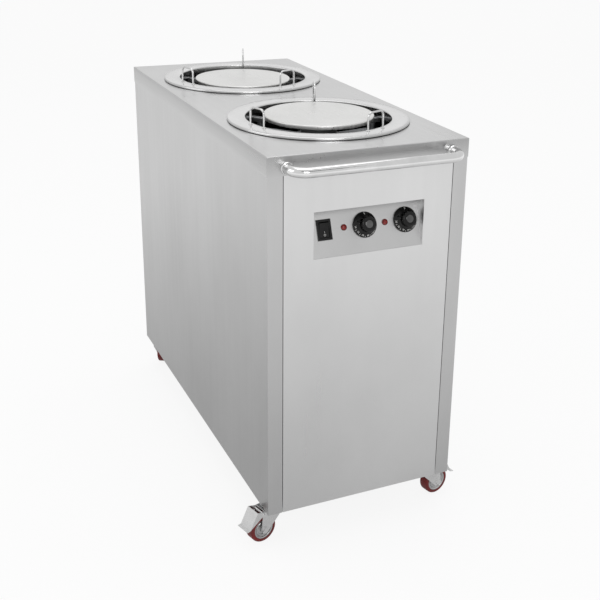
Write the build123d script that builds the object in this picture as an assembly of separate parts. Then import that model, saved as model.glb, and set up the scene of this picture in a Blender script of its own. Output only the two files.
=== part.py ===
from build123d import *
from math import atan2, cos, degrees, radians, sin
import os

# Heated plate dispenser on casters, two sprung plate wells side by side along the body.
# Millimetres. Origin on the floor under the middle of the cabinet, X to the right seen from the
# control end, Y from the control end to the rear, Z up.

# Cabinet
body_width = 450.0
body_length = 1000.0
body_height = 800.0
caster_height = 88.0
sheet = 1.2
skirt_height = 40.0
skirt_round = 2.0
lap_gap = 0.3
corner_strip = 34.0
seam_gap = 1.4
panel_return = 16.0
post_size = 25.0
pan_flange = 22.0
rail_height = 20.0
rail_width = 25.0

# Plate wells
front_well_setback = 266.0
rear_well_setback = 755.0
well_radius = 164.5
well_wall = 1.2
well_flange = 4.0
well_depth = 590.0
drain_radius = 6.0

# Rings on the top
ring_inner = 161.0
ring_outer = 201.0
ring_height = 6.4
ring_crown = 1.0
ring_lip_depth = 14.0
ring_edge_round = 2.6

# Wire plate guides
guide_angles = (70.0, 197.5, 290.0)
guide_radius = 171.0
guide_width = 45.0
guide_height = 40.0
guide_wire = 4.4
guide_bend = 11.0
guide_tail = 5.0
eyelet_radius = 4.4
eyelet_height = 1.4
wire_clearance = 0.1

# Platforms and what carries them
platform_radius = 122.0
platform_rim = 9.0
platform_round = 2.5
front_platform_rise = 12.0
rear_platform_rise = 2.5
platform_travel = 450.0
rod_angles = (10.0, 130.0, 250.0)
rod_circle = 146.0
rod_radius = 4.0
rod_top_drop = 15.0
rod_clip_height = 9.0
rod_clip_width = 16.0
running_clearance = 0.06
stop_gap = 0.4
bush_radius = 8.5
bush_height = 30.0
arm_width = 22.0
arm_thickness = 4.0
hub_plate_radius = 62.0
column_radius = 40.0
column_wall = 2.0
spring_wire = 2.6
spring_inner = 5.2

# Heating
heater_circle = 96.0
heater_radius = 4.25
heater_leg_radius = 5.0
heater_height = 30.0
heater_gap_angle = 24.0
heater_tail = 28.0
heater_clip_angles = (100.0, 220.0, 320.0)
heater_clip_size = 12.0
bulb_radius = 3.0
bulb_length = 90.0
bulb_drop = 300.0
soft_gap = 0.3

# Control recess and its sloping fascia
recess_width = 250.0
recess_height = 100.0
recess_drop = 122.0
recess_depth = 38.0
fascia_flange = 9.0
control_level = 3.0
switch_place = -93.0
lamp_places = (-49.0, 45.0)
knob_places = (-2.0, 92.0)

# Switch
switch_width = 32.0
switch_height = 43.0
switch_frame = 2.6
switch_border = 3.6
switch_back_depth = 26.0
rocker_gap = 0.4
rocker_pivot_depth = 3.0
rocker_swing = 8.0
rocker_thickness = 8.0

# Lamps
lamp_radius = 6.6
lamp_height = 3.2
lamp_stem = 4.6
lamp_body_radius = 7.5
lamp_body_length = 24.0
hole_clearance = 0.3

# Knobs
knob_radius = 27.0
knob_skirt_edge = 3.0
knob_cone_height = 9.0
knob_cone_radius = 18.0
knob_grip_radius = 16.0
knob_height = 25.0
knob_dimple = 1.2
knob_lift = 0.6
spindle_radius = 3.0
spindle_length = 16.0
thermostat_bush = 5.0
thermostat_bush_length = 6.0
thermostat_size = 38.0
thermostat_depth = 26.0

# Push handle
handle_tube = 21.0
handle_wall = 1.5
handle_half_span = 185.0
handle_reach = 48.0
handle_drop = 24.0
handle_bend = 30.0
collar_radius = 13.2
collar_length = 8.0

# Casters
caster_inset_side = 33.0
front_caster_inset = 56.0
rear_caster_inset = 34.0
caster_plate_length = 56.0
caster_plate_width = 52.0
caster_plate_thickness = 2.5
race_radius = 19.0
race_height = 5.0
kingpin_radius = 5.0
kingpin_nut = 8.0
kingpin_nut_height = 4.0
fork_thickness = 2.5
fork_top_radius = 21.0
fork_inner_width = 28.4
trail = 33.0
wheel_radius = 32.5
wheel_width = 25.0
hub_radius = 24.5
hub_length = 27.4
hub_boss_radius = 9.0
hub_dish_radius = 19.0
hub_dish_depth = 4.0
hub_rim_slope = 1.0
hub_rim_step = 0.6
axle_radius = 4.0
axle_head = 7.0
axle_head_height = 4.5
tread_round = 4.0
front_left_heading = 195.0
front_right_heading = 12.0
rear_left_heading = 60.0
rear_right_heading = 40.0

# Brake pedals
pedal_sheet = 1.6
pedal_pivot_out = 36.0
pedal_pivot_up = 73.0
pedal_pin = 2.5
pedal_top_out = 52.0
pedal_top_up = 83.0
pedal_low_out = 71.0
pedal_low_up = 47.0
pedal_lip = 9.0

# Rear end and wiring
vent_count = 7
vent_width = 46.0
vent_height = 5.0
vent_pitch = 16.0
vent_level = 150.0
inlet_width = 50.0
inlet_height = 30.0
inlet_depth = 24.0
inlet_level = 60.0
inlet_flange = 5.0
inlet_flange_thickness = 2.5
block_length = 60.0
block_width = 24.0
block_height = 20.0
block_setback = 60.0
loom_radius = 4.0
loom_bend = 25.0
screw_radius = 2.0
screw_head_radius = 4.2
screw_head_height = 2.2
screw_head_round = 1.4
screw_edge_inset = 12.0
screw_end_inset = 60.0

# Worked out from the sizes above
top_z = caster_height + body_height
under_top = top_z - sheet
front_y = -body_length / 2
rear_y = body_length / 2
side_x = body_width / 2 - sheet - lap_gap
face_y = front_y + sheet + lap_gap
back_y = -face_y
strip_x = body_width / 2 - corner_strip
well_ys = {"front": front_y + front_well_setback, "rear": front_y + rear_well_setback}
rises = {"front": front_platform_rise, "rear": rear_platform_rise}
floor_z = top_z - well_depth
well_outer = well_radius + well_wall
rod_top = top_z - rod_top_drop
bush_top = rod_top - rod_clip_height - stop_gap
bush_bottom = bush_top - bush_height
arm_z = bush_top - bush_height / 2
recess_top = top_z - recess_drop
recess_bottom = recess_top - recess_height
fascia_tilt = degrees(atan2(recess_depth, recess_height))
fascia_back = sheet * (cos(radians(fascia_tilt)) + sin(radians(fascia_tilt))) + lap_gap
recess_mid_y = face_y + sheet + recess_depth / 2
recess_mid_z = (recess_top + recess_bottom) / 2
fascia = Plane(
    origin=(0, recess_mid_y, recess_mid_z),
    x_dir=(1, 0, 0),
    z_dir=(0, -cos(radians(fascia_tilt)), sin(radians(fascia_tilt))),
)
handle_z = top_z - handle_drop
fork_top_z = caster_height - caster_plate_thickness - race_height - stop_gap
axle_z = wheel_radius
caster_x = body_width / 2 - caster_inset_side
front_caster_y = front_y + front_caster_inset
rear_caster_y = rear_y - rear_caster_inset
casters = {
    "front_left": (-caster_x, front_caster_y, front_left_heading),
    "front_right": (caster_x, front_caster_y, front_right_heading),
    "rear_left": (-caster_x, rear_caster_y, rear_left_heading),
    "rear_right": (caster_x, rear_caster_y, rear_right_heading),
}


def block(x0, x1, y0, y1, z0, z1):
    """A box between two corners."""
    size = Box(x1 - x0, y1 - y0, z1 - z0)
    return Pos((x0 + x1) / 2, (y0 + y1) / 2, (z0 + z1) / 2) * size


def rod(radius, z0, z1, x=0.0, y=0.0):
    """An upright cylinder from z0 to z1."""
    return Pos(x, y, (z0 + z1) / 2) * Cylinder(radius, z1 - z0)


def tube(outer, inner, z0, z1, x=0.0, y=0.0):
    return rod(outer, z0, z1, x, y) - rod(inner, z0, z1, x, y)


def around(y, radius, angle):
    """The place at a radius and angle round a well's axis."""
    return radius * cos(radians(angle)), y + radius * sin(radians(angle))


def turned(points):
    """A solid turned about Z from its half outline, given as radius and height."""
    outline = Polyline(*[(r, 0, z) for r, z in points], close=True)
    return revolve(make_face(outline), Axis.Z, 360)


# Cabinet sheet metal

def top_panel():
    half_x = body_width / 2
    shell = block(-half_x, half_x, front_y, rear_y, top_z - skirt_height, top_z)
    outer_edges = shell.edges().filter_by(Axis.Z) + shell.edges().group_by(Axis.Z)[-1]
    shell = fillet(outer_edges, skirt_round)
    hollow = block(
        -half_x + sheet, half_x - sheet, front_y + sheet, rear_y - sheet,
        top_z - skirt_height, under_top,
    )
    shell -= hollow
    for y in well_ys.values():
        shell -= rod(well_outer + lap_gap, under_top, top_z, 0, y)
        for angle in guide_angles:
            for x, foot_y in guide_feet(y, angle):
                shell -= rod(guide_wire / 2 + hole_clearance, under_top, top_z, x, foot_y)
    return shell


def side_panel(side):
    x0, x1 = sorted((side * strip_x, side * side_x))
    outer = block(x0, x1, face_y, back_y, caster_height, under_top)
    core_x0, core_x1 = sorted((side * strip_x, side * (side_x - sheet)))
    core = block(core_x0, core_x1, face_y + sheet, back_y - sheet, caster_height, under_top)
    return outer - core


def end_panel(outer_y, inward):
    """A flat end panel with folded edges; inward is the Y direction into the cabinet."""
    half = strip_x - seam_gap
    low, high = caster_height, under_top
    y0, y1 = sorted((outer_y, outer_y + inward * panel_return))
    panel = block(-half, half, y0, y1, low, high)
    c0, c1 = sorted((outer_y + inward * sheet, outer_y + inward * panel_return))
    return panel - block(-half + sheet, half - sheet, c0, c1, low, high)


def front_panel():
    half = recess_width / 2
    cut = block(-half, half, face_y, face_y + sheet, recess_bottom, recess_top)
    return end_panel(face_y, 1) - cut


def rear_panel():
    panel = end_panel(back_y, -1)
    for row in range(vent_count):
        z = caster_height + vent_level + row * vent_pitch
        for x in (-vent_width, vent_width):
            panel -= block(
                x - vent_width / 2 + vent_height, x + vent_width / 2 - vent_height,
                back_y - sheet, back_y, z, z + vent_height,
            )
    z = caster_height + inlet_level
    half_w = inlet_width / 2 + hole_clearance
    half_h = inlet_height / 2 + hole_clearance
    return panel - block(-half_w, half_w, back_y - sheet, back_y, z - half_h, z + half_h)


def base_pan():
    x = side_x - sheet - lap_gap
    y = back_y - panel_return - lap_gap
    pan = block(-x, x, -y, y, caster_height, caster_height + pan_flange)
    pan -= block(
        -x + sheet, x - sheet, -y + sheet, y - sheet,
        caster_height + sheet, caster_height + pan_flange,
    )
    for row in range(-vent_count, vent_count + 1):
        slot_y = row * vent_pitch * 2
        pan -= block(
            -vent_width, vent_width, slot_y, slot_y + vent_height,
            caster_height, caster_height + sheet,
        )
    return pan


def post_places():
    x = side_x - 2 * sheet - 2 * lap_gap - post_size / 2
    y = back_y - panel_return - sheet - 2 * lap_gap - post_size / 2
    return [(sx * x, sy * y) for sx in (-1, 1) for sy in (-1, 1)]


def corner_posts():
    posts = []
    half = post_size / 2
    for x, y in post_places():
        post = block(x - half, x + half, y - half, y + half, caster_height + sheet, under_top)
        core = half - sheet
        bore = block(x - core, x + core, y - core, y + core, caster_height + sheet, under_top)
        posts.append(post - bore)
    return posts


def well_rails():
    """Cross rails under the wells, from side panel to side panel."""
    rails = []
    half = side_x - sheet
    for y in well_ys.values():
        for offset in (-well_radius / 2, well_radius / 2):
            y0 = y + offset - rail_width / 2
            low = floor_z - well_wall - rail_height
            rail = block(-half, half, y0, y0 + rail_width, low, floor_z - well_wall)
            rail -= block(
                -half, half, y0 + sheet, y0 + rail_width - sheet, low,
                floor_z - well_wall - sheet,
            )
            rails.append(rail)
    return rails


# Wells and rings

def well_tube(y):
    shaft = tube(well_outer, well_radius, floor_z, top_z + well_wall, 0, y)
    flange = tube(well_outer + well_flange, well_radius, top_z, top_z + well_wall, 0, y)
    return shaft + flange


def heater_leg_angles():
    return heater_gap_angle / 2, -heater_gap_angle / 2


def well_floor(y):
    disc = rod(well_outer, floor_z - well_wall, floor_z, 0, y)
    for angle in heater_leg_angles():
        x, leg_y = around(y, heater_circle, angle)
        disc -= rod(heater_leg_radius + hole_clearance, floor_z - well_wall, floor_z, x, leg_y)
    return disc - rod(drain_radius, floor_z - well_wall, floor_z, 0, y)


def ring(y):
    """A pressed ring: crowned top, rounded rim and a lip that hangs into the well."""
    rim = ring_edge_round
    crown = ring_height + ring_crown
    middle = (ring_inner + ring_outer) / 2
    inner_top = (ring_inner + rim, 0, ring_height)
    outer_top = (ring_outer - rim, 0, ring_height - ring_crown)
    lean = rim * (1 - cos(radians(45)))
    outline = Curve() + [
        Line((ring_inner, 0, -ring_lip_depth), (ring_inner, 0, ring_height - rim)),
        ThreePointArc(
            (ring_inner, 0, ring_height - rim),
            (ring_inner + lean, 0, ring_height - lean),
            inner_top,
        ),
        ThreePointArc(inner_top, (middle, 0, crown), outer_top),
        ThreePointArc(
            outer_top,
            (ring_outer - lean, 0, ring_height - ring_crown - lean),
            (ring_outer, 0, ring_height - ring_crown - rim),
        ),
        Line((ring_outer, 0, ring_height - ring_crown - rim), (ring_outer, 0, 0)),
        Line((ring_outer, 0, 0), (ring_inner + sheet, 0, 0)),
        Line((ring_inner + sheet, 0, 0), (ring_inner + sheet, 0, -ring_lip_depth)),
        Line((ring_inner + sheet, 0, -ring_lip_depth), (ring_inner, 0, -ring_lip_depth)),
    ]
    body = revolve(make_face(outline), Axis.Z, 360)
    channel_top = ring_height - ring_crown - sheet
    body -= tube(ring_outer - sheet, ring_inner + sheet, 0, channel_top)
    body = Pos(0, y, top_z) * body
    for angle in guide_angles:
        for x, foot_y in guide_feet(y, angle):
            hole = guide_wire / 2 + wire_clearance
            body -= rod(hole, top_z, top_z + crown, x, foot_y)
    return body


def guide_feet(y, angle):
    """The two feet of one wire guide, along the ring."""
    x, mid_y = around(y, guide_radius, angle)
    step = guide_width / 2
    along = (-sin(radians(angle)), cos(radians(angle)))
    return [(x + s * step * along[0], mid_y + s * step * along[1]) for s in (-1, 1)]


def guide_wires(y):
    wires = []
    base = top_z + ring_height + ring_crown
    top = base + guide_height - guide_wire / 2
    for angle in guide_angles:
        (ax, ay), (bx, by) = guide_feet(y, angle)
        low = top_z - guide_tail
        corners = [(ax, ay, low), (ax, ay, top), (bx, by, top), (bx, by, low)]
        route = FilletPolyline(*corners, radius=guide_bend)
        section = Plane(origin=corners[0], z_dir=(0, 0, 1)) * Circle(guide_wire / 2)
        wires.append(sweep(section, path=route))
    return wires


def guide_eyelets(y):
    base = top_z + ring_height + ring_crown + wire_clearance
    feet = [foot for angle in guide_angles for foot in guide_feet(y, angle)]
    inner = guide_wire / 2 + wire_clearance
    washers = []
    for x, foot_y in feet:
        washer = tube(eyelet_radius, inner, base, base + eyelet_height, x, foot_y)
        washers.append(washer)
    return washers


# Moving platforms

def platform(y, rise):
    """A dished disc with a turned-down rim."""
    high = top_z + rise
    disc = rod(platform_radius, high - platform_rim, high)
    disc = fillet(disc.edges().group_by(Axis.Z)[-1], platform_round)
    disc -= rod(platform_radius - sheet, high - platform_rim, high - sheet)
    return Pos(0, y, 0) * disc


def carrier(y, rise):
    """The spider under a platform: column, plate, three arms and their bushes."""
    high = top_z + rise - sheet
    column = tube(column_radius, column_radius - column_wall, arm_z, high, 0, y)
    body = column + rod(hub_plate_radius, arm_z - arm_thickness, arm_z, 0, y)
    for angle in rod_angles:
        x, bush_y = around(y, rod_circle, angle)
        arm = block(0, rod_circle, -arm_width / 2, arm_width / 2, arm_z - arm_thickness, arm_z)
        body += Pos(0, y, 0) * Rot(0, 0, angle) * arm
        body += rod(bush_radius, bush_bottom, bush_top, x, bush_y)
    for angle in rod_angles:
        x, bush_y = around(y, rod_circle, angle)
        body -= rod(rod_radius + running_clearance, bush_bottom, bush_top, x, bush_y)
    return body


def guide_rods(y):
    rods = []
    for angle in rod_angles:
        x, rod_y = around(y, rod_circle, angle)
        rods.append(rod(rod_radius, floor_z, rod_top, x, rod_y))
    return rods


def rod_clips(y):
    """Blocks on the well wall that hold the rods' upper ends and stop the carrier."""
    clips = []
    wall = rod(well_radius, rod_top - rod_clip_height, rod_top, 0, y)
    for angle in rod_angles:
        x, rod_y = around(y, rod_circle, angle)
        arm = block(
            rod_circle - rod_clip_width / 2, well_radius, -rod_clip_width / 2,
            rod_clip_width / 2, rod_top - rod_clip_height, rod_top,
        )
        clip = (Pos(0, y, 0) * Rot(0, 0, angle) * arm) & wall
        hole = rod_radius + running_clearance
        clips.append(clip - rod(hole, rod_top - rod_clip_height, rod_top, x, rod_y))
    return clips


def springs(y):
    """The space of the three springs round the rods, under the bushes."""
    sleeves = []
    outer = spring_inner + spring_wire
    for angle in rod_angles:
        x, rod_y = around(y, rod_circle, angle)
        sleeves.append(tube(outer, spring_inner, floor_z + soft_gap, bush_bottom - soft_gap, x, rod_y))
    return sleeves


# Heating

def heater(y):
    """A round tubular element held by two upright ferrules that pass through the well floor."""
    section = Plane.XZ * Pos(heater_circle, 0, 0) * Circle(heater_radius)
    element = Rot(0, 0, heater_gap_angle / 2) * revolve(section, Axis.Z, 360 - heater_gap_angle)
    for angle in heater_leg_angles():
        x, leg_y = around(0, heater_circle, angle)
        element += rod(heater_leg_radius, -heater_height - heater_tail, heater_leg_radius, x, leg_y)
    return Pos(0, y, floor_z + heater_height) * element


def heater_clips():
    """Saddles that carry the elements above the well floors."""
    clips = []
    half = heater_clip_size / 2
    level = floor_z + heater_height
    for y in well_ys.values():
        for angle in heater_clip_angles:
            arm = block(heater_circle - half, heater_circle + half, -half, half, floor_z, level)
            groove = Torus(heater_circle, heater_radius + soft_gap)
            saddle = arm - Pos(0, 0, level) * groove
            clips.append(Pos(0, y, 0) * Rot(0, 0, angle) * saddle)
    return clips


def sensor_bulbs():
    """Thermostat bulbs clipped along the outside of each well."""
    bulbs = []
    z1 = top_z - bulb_drop
    for y in well_ys.values():
        x = -(well_outer + bulb_radius + soft_gap)
        bulbs.append(rod(bulb_radius, z1 - bulb_length, z1, x, y))
    return bulbs


# Controls on the sloping fascia

def control_fascia():
    """A wedge-shaped pocket behind the front panel, with a flange on the panel's back."""
    seat = face_y + sheet
    deep = seat + recess_depth
    half = recess_width / 2
    outer = [
        (seat, recess_bottom - fascia_flange), (seat + sheet, recess_bottom - fascia_flange),
        (seat + sheet, recess_bottom - sheet), (deep + sheet, recess_top - sheet),
        (deep + sheet, recess_top + sheet), (seat + sheet, recess_top + sheet),
        (seat + sheet, recess_top + fascia_flange), (seat, recess_top + fascia_flange),
    ]
    inner = [(seat, recess_bottom), (deep, recess_top), (seat, recess_top)]
    wide = half + fascia_flange
    plate = prism(outer[:3] + [outer[5]] + outer[6:], wide)
    wedge = prism([(seat, recess_bottom - sheet)] + outer[2:5] + [(seat, recess_top + sheet)], half + sheet)
    pocket = prism(inner, half)
    body = plate + wedge - pocket
    for x in lamp_places:
        body -= on_fascia(x, Cylinder(lamp_stem + hole_clearance, 4 * sheet))
    for x in knob_places:
        body -= on_fascia(x, Cylinder(thermostat_bush + hole_clearance, 4 * sheet))
    hole = Box(
        switch_width - 2 * switch_border + 2 * hole_clearance,
        switch_height - 2 * switch_border + 2 * hole_clearance, 4 * sheet,
    )
    return body - on_fascia(switch_place, hole)


def prism(points, half_width):
    """An outline of Y and Z places, stretched along X to both sides."""
    outline = Polyline(*[(0, y, z) for y, z in points], close=True)
    return extrude(make_face(outline), amount=half_width, dir=(1, 0, 0), both=True)


def on_fascia(x, shape, height=0.0):
    """Puts a shape on the fascia's front face at x, with its own Z straight out."""
    return fascia * Pos(x, control_level, height) * shape


def switch_housing():
    well = rocker_pivot_depth + rocker_thickness + 3
    frame = Pos(0, 0, switch_frame / 2) * Box(switch_width, switch_height, switch_frame)
    frame = fillet(frame.edges().group_by(Axis.Z)[-1], 1.0)
    back = Pos(0, 0, -switch_back_depth / 2) * Box(
        switch_width - 2 * switch_border, switch_height - 2 * switch_border, switch_back_depth
    )
    body = frame + back
    opening = Pos(0, 0, switch_frame - well / 2) * Box(
        rocker_size()[0] + 2 * rocker_gap, rocker_size()[1] + 2 * rocker_gap, well
    )
    return on_fascia(switch_place, body - opening)


def rocker_size():
    wall = switch_border + 1.8
    return switch_width - 2 * wall, switch_height - 2 * wall


def rocker():
    """A two-faced rocker, shown with its lower half pressed in."""
    width, length = rocker_size()
    high = switch_frame + 1.0
    low = -rocker_thickness
    half = length / 2 - 0.8
    dip = half * sin(radians(rocker_swing))
    points = [(-half, high), (0, high - dip), (half, high), (half, low), (-half, low)]
    outline = Polyline(*[(0, y, z + rocker_pivot_depth) for y, z in points], close=True)
    solid = extrude(make_face(outline), amount=width / 2, dir=(1, 0, 0), both=True)
    return on_fascia(switch_place, Rot(rocker_swing, 0, 0) * solid, -rocker_pivot_depth)


def indicator_lamps():
    lamps = []
    for x in lamp_places:
        head = Pos(0, 0, lamp_height / 2) * Cylinder(lamp_radius, lamp_height)
        head = fillet(head.edges().group_by(Axis.Z)[-1], lamp_height / 2)
        stem_length = fascia_back
        stem = Pos(0, 0, -stem_length / 2) * Cylinder(lamp_stem, stem_length)
        lamps.append(on_fascia(x, head + stem))
    return lamps


def lamp_bodies():
    bodies = []
    for x in lamp_places:
        body = Cylinder(lamp_body_radius, lamp_body_length)
        bodies.append(on_fascia(x, body, -fascia_back - lamp_body_length / 2))
    return bodies


def knob(x):
    """A dial skirt with a grip on it and the control's spindle behind."""
    skirt = [
        (0, knob_lift), (knob_radius - 1, knob_lift), (knob_radius, knob_lift + 1),
        (knob_radius, knob_skirt_edge), (knob_cone_radius, knob_cone_height),
        (knob_grip_radius, knob_cone_height), (knob_grip_radius - 1, knob_height - 1),
        (knob_grip_radius - 2, knob_height), (knob_grip_radius / 2, knob_height),
        (knob_grip_radius / 2 - 1, knob_height - knob_dimple), (0, knob_height - knob_dimple),
    ]
    body = turned(skirt)
    start = knob_lift - spindle_length
    body += Pos(0, 0, (start + knob_lift) / 2) * Cylinder(spindle_radius, spindle_length)
    return on_fascia(x, body)


def thermostats():
    units = []
    for x in knob_places:
        back = -fascia_back
        case = Pos(0, 0, back - thermostat_depth / 2) * Box(
            thermostat_size, thermostat_size, thermostat_depth
        )
        bush_z = knob_lift - stop_gap - thermostat_bush_length / 2
        bush = Pos(0, 0, bush_z) * Cylinder(thermostat_bush, thermostat_bush_length)
        bore_length = thermostat_bush_length + spindle_length
        bore = Pos(0, 0, -bore_length / 2 + knob_lift) * Cylinder(
            spindle_radius + running_clearance, bore_length
        )
        units.append(on_fascia(x, case + bush - bore))
    return units


# Push handle

def push_handle():
    end = front_y
    run = front_y - handle_reach
    corners = [
        (-handle_half_span, end, handle_z), (-handle_half_span, run, handle_z),
        (handle_half_span, run, handle_z), (handle_half_span, end, handle_z),
    ]
    route = FilletPolyline(*corners, radius=handle_bend)
    start = Plane(origin=corners[0], z_dir=(0, -1, 0))
    outer = sweep(start * Circle(handle_tube / 2), path=route)
    inner = sweep(start * Circle(handle_tube / 2 - handle_wall), path=route)
    return outer - inner


def handle_collars():
    collars = []
    for x in (-handle_half_span, handle_half_span):
        disc = Cylinder(collar_radius, collar_length)
        disc = fillet(disc.edges().group_by(Axis.Z)[-1], 2.0)
        disc -= Cylinder(handle_tube / 2 + wire_clearance, collar_length)
        place = Plane(origin=(x, front_y - collar_length / 2, handle_z), z_dir=(0, -1, 0))
        collars.append(place * disc)
    return collars


# Casters, each built at the origin with its swivel axis on Z and the wheel trailing along +X

def placed(corner, shape):
    x, y, heading = casters[corner]
    return Pos(x, y, 0) * Rot(0, 0, heading) * shape


def caster_plates():
    plates = []
    for x, y, heading in casters.values():
        half_l = caster_plate_length / 2
        half_w = caster_plate_width / 2
        low = caster_height - caster_plate_thickness
        plate = block(x - half_w, x + half_w, y - half_l, y + half_l, low, caster_height)
        plate = fillet(plate.edges().filter_by(Axis.Z), 4.0)
        race = rod(race_radius, low - race_height, low, x, y)
        pin_low = fork_top_z - fork_thickness - stop_gap
        pin = rod(kingpin_radius, pin_low, low, x, y)
        nut = rod(kingpin_nut, pin_low - kingpin_nut_height, pin_low, x, y)
        plates.append(plate + race + pin + nut)
    return plates


def fork():
    """Round top plate and two legs that reach back and down to the axle."""
    low_edge = axle_z - axle_head - 2
    outline = [
        (-fork_top_radius * 0.75, fork_top_z), (trail + 5, fork_top_z),
        (trail + axle_head + 1, axle_z + 4), (trail + axle_head - 2, low_edge),
        (trail - axle_head, low_edge), (-fork_top_radius * 0.75, fork_top_z - 14),
    ]
    half = fork_inner_width / 2 + fork_thickness
    legs = extrude_along_y(outline, half) - extrude_along_y(outline, fork_inner_width / 2)
    top = rod(fork_top_radius, fork_top_z - fork_thickness, fork_top_z)
    bridge = block(0, trail, -half, half, fork_top_z - fork_thickness, fork_top_z)
    body = legs + top + bridge
    hole = kingpin_radius + running_clearance
    body -= rod(hole, fork_top_z - fork_thickness, fork_top_z)
    body -= at_axle(Cylinder(axle_radius + running_clearance, 4 * half))
    return body - at_pivot(Cylinder(pedal_pin + running_clearance, 4 * half))


def extrude_along_y(points, half_width):
    outline = Polyline(*[(x, 0, z) for x, z in points], close=True)
    return extrude(make_face(outline), amount=half_width, dir=(0, 1, 0), both=True)


def at_pivot(shape):
    return Pos(pedal_pivot_out, 0, pedal_pivot_up) * Rot(90, 0, 0) * shape


def at_axle(shape):
    return Pos(trail, 0, axle_z) * Rot(90, 0, 0) * shape


def axle():
    half = fork_inner_width / 2 + fork_thickness
    pin = Cylinder(axle_radius, 2 * (half + axle_head_height))
    offset = half + axle_head_height / 2
    head = Pos(0, 0, offset) * extrude_hex(axle_head, axle_head_height)
    nut = Pos(0, 0, -offset) * extrude_hex(axle_head, axle_head_height)
    return at_axle(pin + head + nut)


def extrude_hex(radius, height):
    return Pos(0, 0, -height / 2) * extrude(RegularPolygon(radius, 6), amount=height)


def wheel_hub():
    """Grey centre with a raised boss and a dished web on both faces."""
    boss = hub_length / 2
    face = wheel_width / 2 - hub_rim_step
    web = wheel_width / 2 - hub_dish_depth
    rim = hub_dish_radius + hub_rim_slope
    bore = axle_radius + running_clearance
    outline = [
        (bore, -boss), (hub_boss_radius, -boss), (hub_boss_radius, -web),
        (hub_dish_radius, -web), (rim, -face), (hub_radius, -face), (hub_radius, face),
        (rim, face), (hub_dish_radius, web), (hub_boss_radius, web), (hub_boss_radius, boss),
        (bore, boss),
    ]
    return at_axle(turned(outline))


def wheel_tread():
    ring_solid = tube(wheel_radius, hub_radius, -wheel_width / 2, wheel_width / 2)
    rims = ring_solid.edges().filter_by(lambda e: abs(e.length - 2 * 3.14159265 * wheel_radius) < 0.1)
    return at_axle(fillet(rims.filter_by(GeomType.CIRCLE), tread_round))


def brake_pedal():
    """A folded plate on two ears that pivot on the fork's legs."""
    top = (pedal_top_out, pedal_top_up)
    low = (pedal_low_out, pedal_low_up)
    lip = (pedal_low_out + pedal_lip, pedal_low_up - 2)
    ear_inner = fork_inner_width / 2 + fork_thickness + soft_gap
    ears = [
        (pedal_pivot_out - 5, pedal_pivot_up - 4), (pedal_pivot_out - 5, pedal_pivot_up + 4),
        top, (low[0] - 1, low[1] + 2), (pedal_pivot_out + 6, pedal_pivot_up - 5),
    ]
    ear_outer = ear_inner + pedal_sheet
    wings = extrude_along_y(ears, ear_outer) - extrude_along_y(ears, ear_inner)
    plate = folded([top, low, lip], ear_outer)
    return plate + wings - at_pivot(Cylinder(pedal_pin + running_clearance, 4 * ear_outer))


def folded(points, half):
    """A bent sheet through its outline points, thickened on the side away from the fork."""
    back = [(x + pedal_sheet, z + 0.5) for x, z in reversed(points)]
    return extrude_along_y(points + back, half)


def brake_pin():
    half = fork_inner_width / 2 + fork_thickness
    return at_pivot(Cylinder(pedal_pin, 2 * (half + soft_gap + pedal_sheet) + pedal_pin))


# Electrics low in the cabinet

def power_inlet():
    """A panel inlet with its flange outside and its socket recess open to the rear."""
    z = caster_height + inlet_level
    half_w = inlet_width / 2
    half_h = inlet_height / 2
    body = block(-half_w, half_w, back_y - inlet_depth, back_y, z - half_h, z + half_h)
    flange = block(
        -half_w - inlet_flange, half_w + inlet_flange, back_y, back_y + inlet_flange_thickness,
        z - half_h - inlet_flange, z + half_h + inlet_flange,
    )
    body += flange
    rim = 4.0
    recess = block(
        -half_w + rim, half_w - rim, back_y - inlet_depth + rim, back_y + inlet_flange_thickness,
        z - half_h + rim, z + half_h - rim,
    )
    return body - recess


def inlet_pins():
    pins = []
    z = caster_height + inlet_level
    for x, rise in ((-11.0, -3.0), (0.0, 4.0), (11.0, -3.0)):
        y0 = back_y - inlet_depth + 4.0
        pins.append(block(x - 1, x + 1, y0, y0 + 14, z + rise - 3, z + rise + 3))
    return pins


def terminal_block():
    z = caster_height + sheet
    x0 = -loom_radius - loom_bend - block_length
    y = face_y + panel_return + block_setback
    body = block(x0, x0 + block_length, y, y + block_width, z, z + block_height)
    for place in range(1, 6):
        x = x0 + place * block_length / 6
        body -= rod(screw_radius, z + block_height / 2, z + block_height, x, y + block_width / 2)
    return body


def wiring_loom():
    """The mains loom from the inlet along the pan and up to the controls."""
    z = caster_height + sheet + loom_radius + soft_gap
    y_inlet = back_y - inlet_depth - soft_gap
    y_drop = y_inlet - 2 * loom_bend
    y_rise = face_y + panel_return + loom_bend + loom_radius
    z_inlet = caster_height + inlet_level
    corners = [
        (0, y_inlet, z_inlet), (0, y_drop, z_inlet), (0, y_drop, z),
        (0, y_rise, z), (0, y_rise, recess_bottom),
    ]
    route = FilletPolyline(*corners, radius=loom_bend)
    start = Plane(origin=corners[0], z_dir=(0, -1, 0))
    return sweep(start * Circle(loom_radius), path=route)


def panel_screws():
    """Pan-head screws that hold the rear panel to the corner strips' returns."""
    screws = []
    x = strip_x - seam_gap - screw_edge_inset
    low = caster_height + screw_end_inset
    high = under_top - screw_end_inset
    for side in (-x, x):
        for z in (low, (low + high) / 2, high):
            head = rod(screw_head_radius, 0, screw_head_height)
            head = fillet(head.edges().group_by(Axis.Z)[-1], screw_head_round)
            place = Plane(origin=(side, back_y, z), z_dir=(0, 1, 0))
            screws.append(place * head)
    return screws


def in_both_wells(make):
    """The pieces that a function makes for one well, for both."""
    pieces = []
    for y in well_ys.values():
        made = make(y)
        pieces += made if isinstance(made, list) else [made]
    return pieces


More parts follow.
